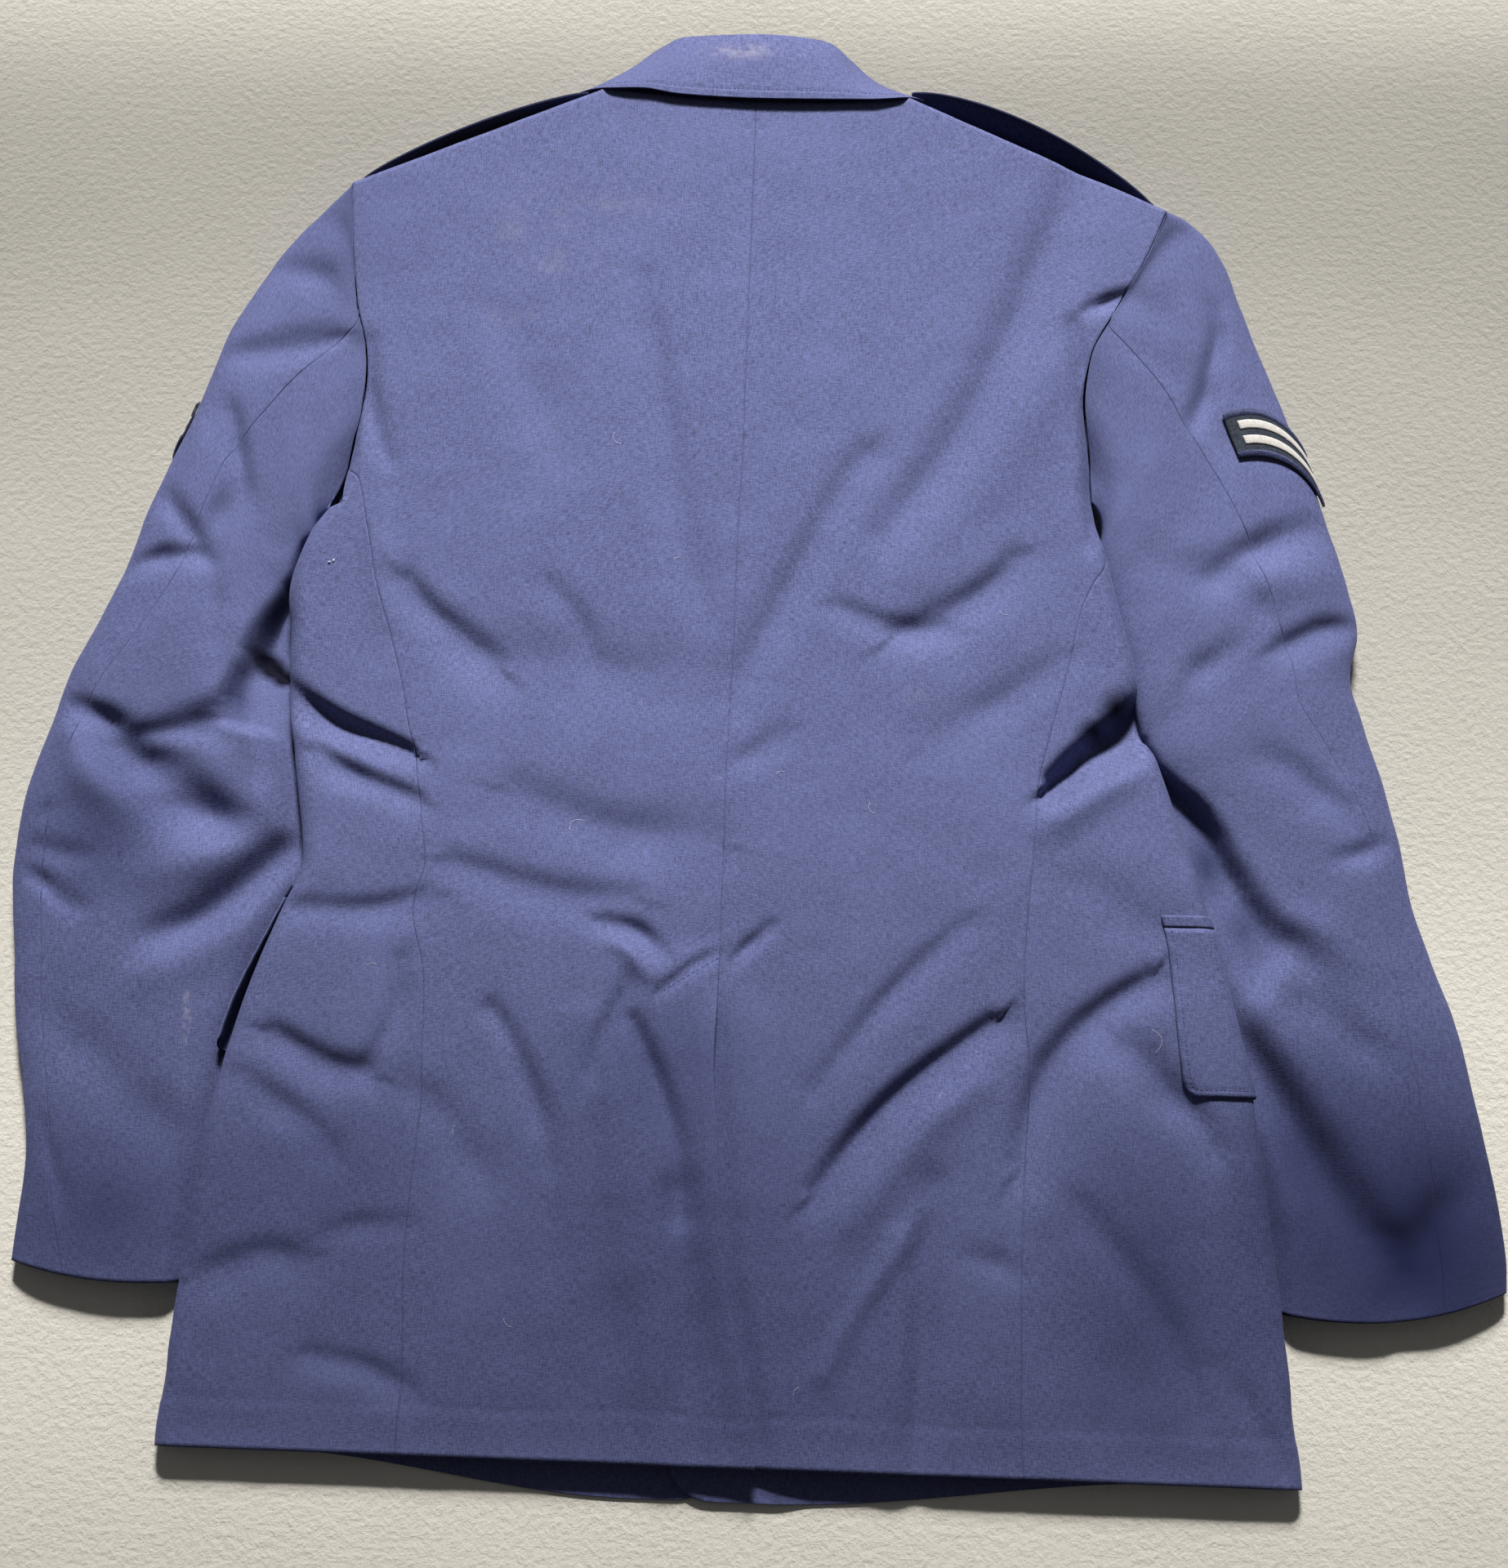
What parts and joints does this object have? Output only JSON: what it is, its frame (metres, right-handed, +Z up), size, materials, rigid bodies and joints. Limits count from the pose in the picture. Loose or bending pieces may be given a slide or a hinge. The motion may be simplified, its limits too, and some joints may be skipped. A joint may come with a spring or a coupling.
{
  "type": "dress uniform coat",
  "caption": "Single-breasted dress uniform coat laid face down: centre-vented back, set-in sleeves with rank patches, shoulder straps, pocket flaps and a folded collar.",
  "frame": {"origin": "under the middle of the coat, on the surface that it lies on", "axes": "+X across the coat to its right sleeve as seen from above, +Y towards the collar, +Z up from the surface"},
  "size_m": [0.8127, 0.8424, 0.039],
  "materials": {
    "blue_cloth": "matte plain-weave wool blend, heathered blue",
    "navy_cloth": "matte dark navy backing with an embroidered border",
    "white_bar": "off-white felt",
    "silver_button": "satin, lightly worn"
  },
  "bodies": {
    "root": {"back_left": "blue_cloth", "side_left": "blue_cloth", "front_left": "blue_cloth", "lapel_left": "blue_cloth", "sleeve_left_top": "blue_cloth", "sleeve_left_under": "blue_cloth", "pocket_flap_left": "blue_cloth", "pocket_welt_left": "blue_cloth", "shoulder_strap_left": "blue_cloth", "rank_patch_left": "navy_cloth", "rank_bar_left_1": "white_bar", "rank_bar_left_2": "white_bar", "back_right": "blue_cloth", "side_right": "blue_cloth", "front_right": "blue_cloth", "lapel_right": "blue_cloth", "sleeve_right_top": "blue_cloth", "sleeve_right_under": "blue_cloth", "pocket_flap_right": "blue_cloth", "pocket_welt_right": "blue_cloth", "shoulder_strap_right": "blue_cloth", "rank_patch_right": "navy_cloth", "rank_bar_right_1": "white_bar", "rank_bar_right_2": "white_bar", "collar_fall": "blue_cloth", "collar_stand": "blue_cloth", "front_button_1": "silver_button", "front_button_2": "silver_button", "front_button_3": "silver_button"}
  },
  "joints": []
}
